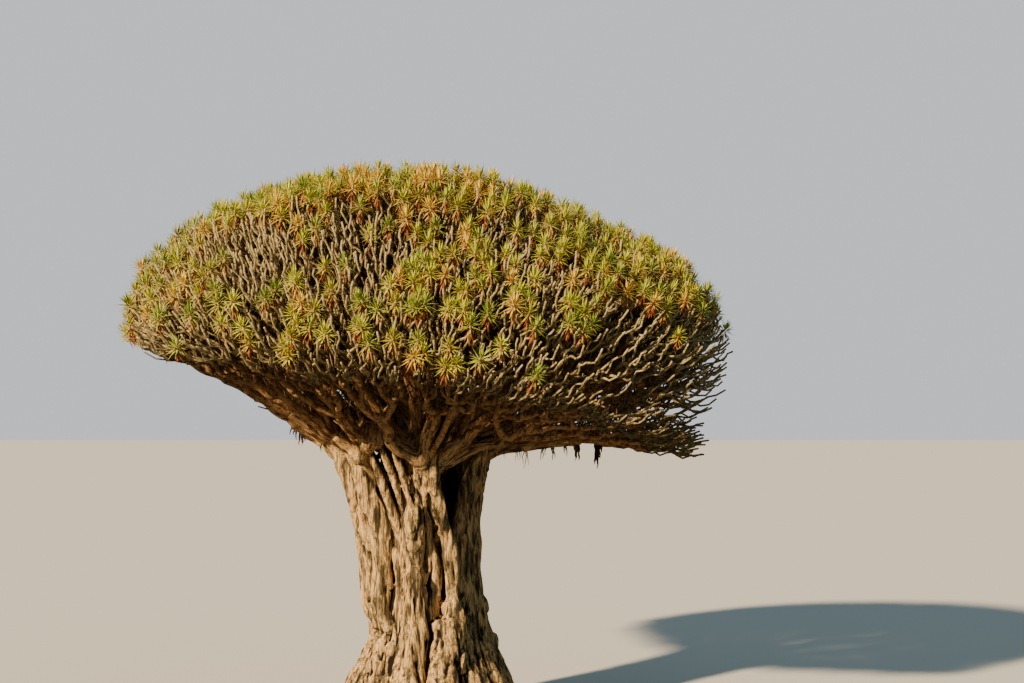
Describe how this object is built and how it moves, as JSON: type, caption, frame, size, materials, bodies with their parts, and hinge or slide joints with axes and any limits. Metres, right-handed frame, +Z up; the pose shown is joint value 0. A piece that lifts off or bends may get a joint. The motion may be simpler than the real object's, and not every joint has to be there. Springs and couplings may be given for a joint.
{
  "type": "dragon blood tree",
  "caption": "Old dragon blood tree with a stout trunk of fused strands and a wide umbrella crown of forking stems ending in rosettes of sword leaves.",
  "frame": {"origin": "centre of the trunk's flat cut at ground level", "axes": "+Z up, +X to the right in the pictured view, -Y towards the viewer"},
  "size_m": [18.2151, 16.2717, 16.3137],
  "materials": {
    "trunk_bark": "rough weathered bark, tan to grey",
    "bough_bark": "rough red-brown bark",
    "foliage": "leathery yellow-green leaves on pale grey twigs"
  },
  "bodies": {
    "root": {"trunk": "trunk_bark", "bough_inner_1": "bough_bark", "bough_inner_2": "bough_bark", "bough_middle_1": "bough_bark", "bough_middle_2": "bough_bark", "bough_middle_3": "bough_bark", "bough_middle_4": "bough_bark", "bough_middle_5": "bough_bark", "bough_outer_1": "bough_bark", "bough_outer_2": "bough_bark", "bough_outer_3": "bough_bark", "bough_outer_4": "bough_bark", "bough_outer_5": "bough_bark", "bough_outer_6": "bough_bark", "bough_outer_7": "bough_bark", "bough_outer_8": "bough_bark", "bough_outer_9": "bough_bark", "mass_inner_1": "foliage", "mass_inner_2": "foliage", "mass_inner_3": "foliage", "mass_inner_4": "foliage", "mass_middle_1": "foliage", "mass_middle_2": "foliage", "mass_middle_3": "foliage", "mass_middle_4": "foliage", "mass_middle_5": "foliage", "mass_middle_6": "foliage", "mass_middle_7": "foliage", "mass_middle_8": "foliage", "mass_middle_9": "foliage", "mass_middle_10": "foliage", "mass_outer_1": "foliage", "mass_outer_2": "foliage", "mass_outer_3": "foliage", "mass_outer_4": "foliage", "mass_outer_5": "foliage", "mass_outer_6": "foliage", "mass_outer_7": "foliage", "mass_outer_8": "foliage", "mass_outer_9": "foliage", "mass_outer_10": "foliage", "mass_outer_11": "foliage", "mass_outer_12": "foliage", "mass_outer_13": "foliage", "mass_outer_14": "foliage", "mass_outer_15": "foliage", "mass_outer_16": "foliage", "mass_outer_17": "foliage", "mass_outer_18": "foliage"}
  },
  "joints": []
}
